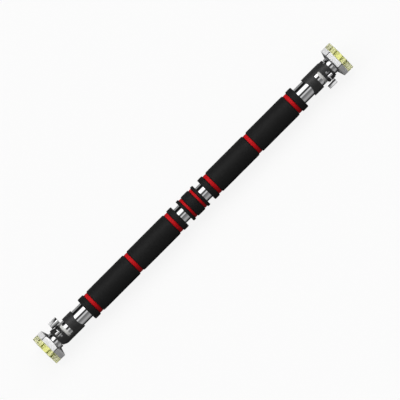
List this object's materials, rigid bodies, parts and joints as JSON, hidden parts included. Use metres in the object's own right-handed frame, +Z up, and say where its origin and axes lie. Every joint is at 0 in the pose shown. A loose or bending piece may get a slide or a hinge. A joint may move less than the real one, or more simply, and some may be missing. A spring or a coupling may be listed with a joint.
{
  "type": "pull up bar",
  "caption": "Telescopic doorway pull up bar with padded grips, hexagonal end feet that wind out on screws, and a flip-lever lock at each end.",
  "frame": {"origin": "mid-point of the bar on its axis, which is the centre of its bounding box", "axes": "+X along the bar towards the right foot, +Z up from the flat that the feet rest on, +Y across, towards the bridge of the right lock"},
  "size_m": [0.73, 0.0592, 0.052],
  "materials": {
    "chromed_steel": "polished",
    "chromed_casting": "satin chrome",
    "chromed_lever": "polished",
    "plain_steel": "satin",
    "brass": "satin",
    "black_foam": "soft closed-cell foam",
    "red_foam": "soft closed-cell foam",
    "dark_plastic": "satin",
    "white_plastic": "satin",
    "clear_yellow_pad": "translucent, soft and smooth"
  },
  "bodies": {
    "bar": {"center_grip": "black_foam", "left_brake_leaf": "plain_steel", "left_center_band": "red_foam", "left_center_ring": "black_foam", "left_collar_screws": "plain_steel", "left_end_ring": "black_foam", "left_inner_band": "red_foam", "left_inner_grip": "black_foam", "left_inner_ring": "black_foam", "left_leaf_screw": "plain_steel", "left_lever_pin": "plain_steel", "left_lock_body": "dark_plastic", "left_middle_band": "red_foam", "left_mouth_bush": "white_plastic", "left_outer_band": "red_foam", "left_outer_grip": "black_foam", "left_spindle": "plain_steel", "left_spindle_mount": "plain_steel", "left_spindle_pin": "plain_steel", "main_tube": "chromed_steel", "right_brake_leaf": "plain_steel", "right_center_band": "red_foam", "right_center_ring": "black_foam", "right_collar_screws": "plain_steel", "right_end_ring": "black_foam", "right_inner_band": "red_foam", "right_inner_grip": "black_foam", "right_inner_ring": "black_foam", "right_leaf_screw": "plain_steel", "right_lever_pin": "plain_steel", "right_lock_body": "dark_plastic", "right_middle_band": "red_foam", "right_mouth_bush": "white_plastic", "right_outer_band": "red_foam", "right_outer_grip": "black_foam", "right_spindle": "plain_steel", "right_spindle_mount": "plain_steel", "right_spindle_pin": "plain_steel"},
    "left_runner": {"left_guide_ring": "white_plastic"},
    "left_foot": {"left_inner_tube": "chromed_steel", "left_spindle_nut": "brass", "left_snap_ring": "plain_steel", "left_tube_plug": "plain_steel", "left_neck_collar": "chromed_steel", "left_hex_housing": "chromed_casting", "left_foot_screw": "plain_steel", "left_foot_pad": "clear_yellow_pad"},
    "left_lever": {"left_lock_lever": "chromed_lever"},
    "right_runner": {"right_guide_ring": "white_plastic"},
    "right_foot": {"right_inner_tube": "chromed_steel", "right_spindle_nut": "brass", "right_snap_ring": "plain_steel", "right_tube_plug": "plain_steel", "right_neck_collar": "chromed_steel", "right_hex_housing": "chromed_casting", "right_foot_screw": "plain_steel", "right_foot_pad": "clear_yellow_pad"},
    "right_lever": {"right_lock_lever": "chromed_lever"}
  },
  "joints": [
    {"name": "left_foot_travel", "type": "slide", "parent": "bar", "child": "left_runner", "axis": [-1, 0, 0], "range_m": [0, 0.16]},
    {"name": "left_foot_turn", "type": "hinge", "parent": "left_runner", "child": "left_foot", "pos_m": [-0.1085, 0, 0], "axis": [1, 0, 0], "range_deg": [0, 14400]},
    {"name": "left_lever_flip", "type": "hinge", "parent": "bar", "child": "left_lever", "pos_m": [-0.326, 0.00544, 0.01674], "axis": [1, 0, 0], "range_deg": [0, 110]},
    {"name": "right_foot_travel", "type": "slide", "parent": "bar", "child": "right_runner", "axis": [1, 0, 0], "range_m": [0, 0.16]},
    {"name": "right_foot_turn", "type": "hinge", "parent": "right_runner", "child": "right_foot", "pos_m": [0.1085, 0, 0], "axis": [1, 0, 0], "range_deg": [0, 14400]},
    {"name": "right_lever_flip", "type": "hinge", "parent": "bar", "child": "right_lever", "pos_m": [0.326, -0.01266, 0.01223], "axis": [-1, 0, 0], "range_deg": [0, 110]}
  ],
  "couplings": [
    {"joint": "left_foot_travel", "follows": "left_foot_turn", "m_per_rad": 0.00063662},
    {"joint": "right_foot_travel", "follows": "right_foot_turn", "m_per_rad": 0.00063662}
  ]
}
